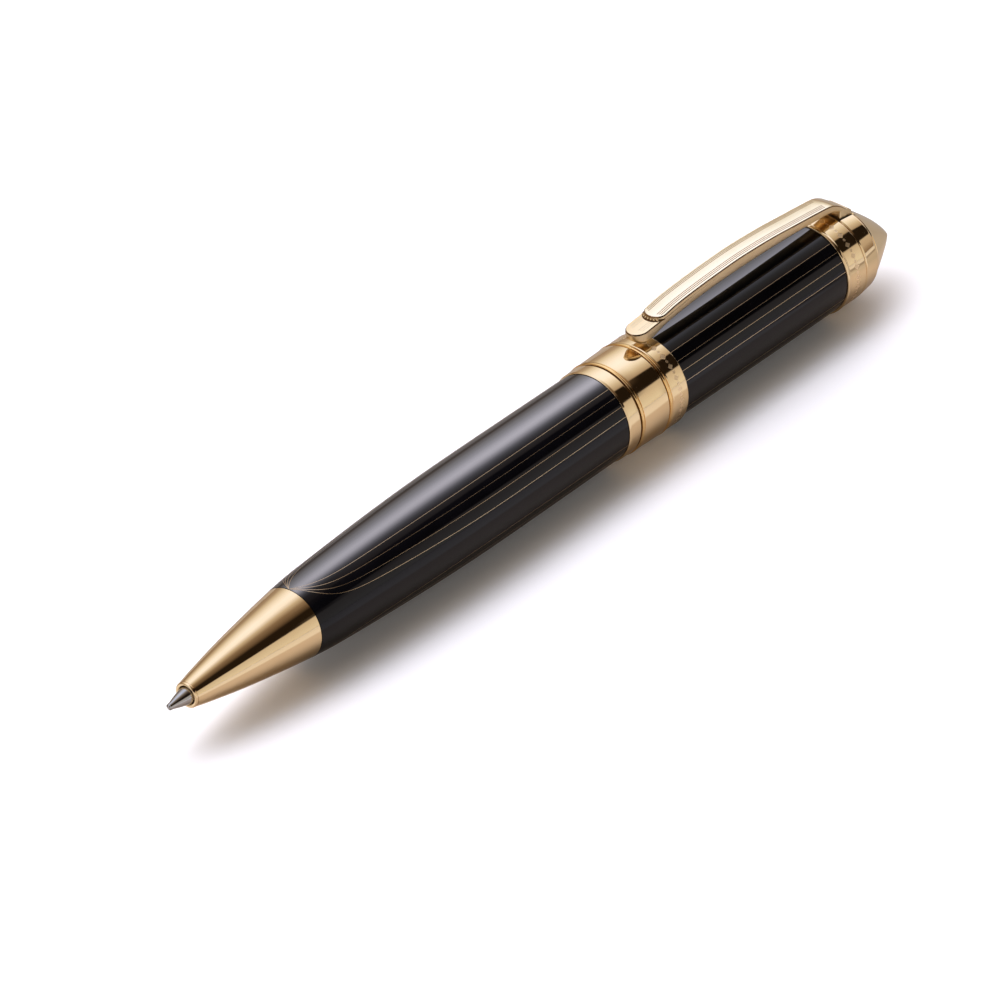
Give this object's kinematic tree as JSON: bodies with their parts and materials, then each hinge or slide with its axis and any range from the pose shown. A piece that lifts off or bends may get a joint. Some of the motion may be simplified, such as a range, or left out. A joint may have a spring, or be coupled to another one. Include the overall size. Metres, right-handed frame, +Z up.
{
  "type": "twist-action rollerball pen",
  "caption": "Slim twist-action writing pen with pin-striped dark barrels, bright nose, engraved trim rings, a sprung clip and a roof-shaped finial.",
  "frame": {"origin": "under the middle of the pen, on the surface that it lies on", "axes": "+X along the pen from the point to the finial, +Y across it, +Z up through the clip"},
  "size_m": [0.133, 0.0126, 0.0165],
  "materials": {
    "gold_trim": "polished pale gold plating",
    "lacquer": "glossy black lacquer over brass",
    "steel": "polished steel",
    "refill_metal": "drawn metal ink tube",
    "brass": "turned brass",
    "plastic": "moulded plastic",
    "rubber": "matt rubber"
  },
  "bodies": {
    "upper_half": {"upper_barrel": "lacquer", "centre_band": "gold_trim", "wire_ring": "gold_trim", "rear_trim_ring": "gold_trim", "ring_carrier": "brass", "cam_sleeve": "brass", "rear_plug": "brass", "clip_ring": "gold_trim", "crown_ring": "gold_trim", "clip_pivot_pin": "steel", "clip_leaf_spring": "steel", "finial": "gold_trim", "finial_stud": "steel"},
    "mechanism": {"turning_washer": "gold_trim", "mechanism_housing": "brass", "friction_ring": "rubber", "mechanism_end_cap": "brass"},
    "refill": {"refill_tip": "steel", "refill_tube": "refill_metal", "refill_end_plug": "plastic", "follower": "plastic", "follower_pin": "steel", "return_spring": "steel"},
    "lower_half": {"nose_cone": "gold_trim", "lower_barrel": "lacquer", "barrel_thread_bush": "brass", "front_trim_ring": "gold_trim"},
    "ball": {"writing_ball": "steel"},
    "clip": {"clip": "gold_trim"}
  },
  "joints": [
    {"name": "twist", "type": "hinge", "parent": "upper_half", "child": "mechanism", "pos_m": [0.01273, 0, 0.00626], "axis": [1, 0, 0], "range_deg": [0, 180]},
    {"name": "refill_travel", "type": "slide", "parent": "mechanism", "child": "refill", "axis": [1, 0, 0], "range_m": [0, 0.006], "deforming": ["return_spring"]},
    {"name": "lower_half_off", "type": "slide", "parent": "mechanism", "child": "lower_half", "axis": [-1, 0, 0], "range_m": [0, 0.1]},
    {"name": "ball_roll", "type": "hinge", "parent": "refill", "child": "ball", "pos_m": [-0.06617, 0, 0.00626], "axis": [0, 1, 0], "continuous": true},
    {"name": "clip_open", "type": "hinge", "parent": "upper_half", "child": "clip", "pos_m": [0.05792, 0, 0.01096], "axis": [0, 1, 0], "range_deg": [0, 4], "stiffness_Nm_per_rad": 1, "springref_deg": -2.86}
  ],
  "couplings": [
    {"joint": "refill_travel", "follows": "twist", "m_per_rad": 0.0019098}
  ]
}
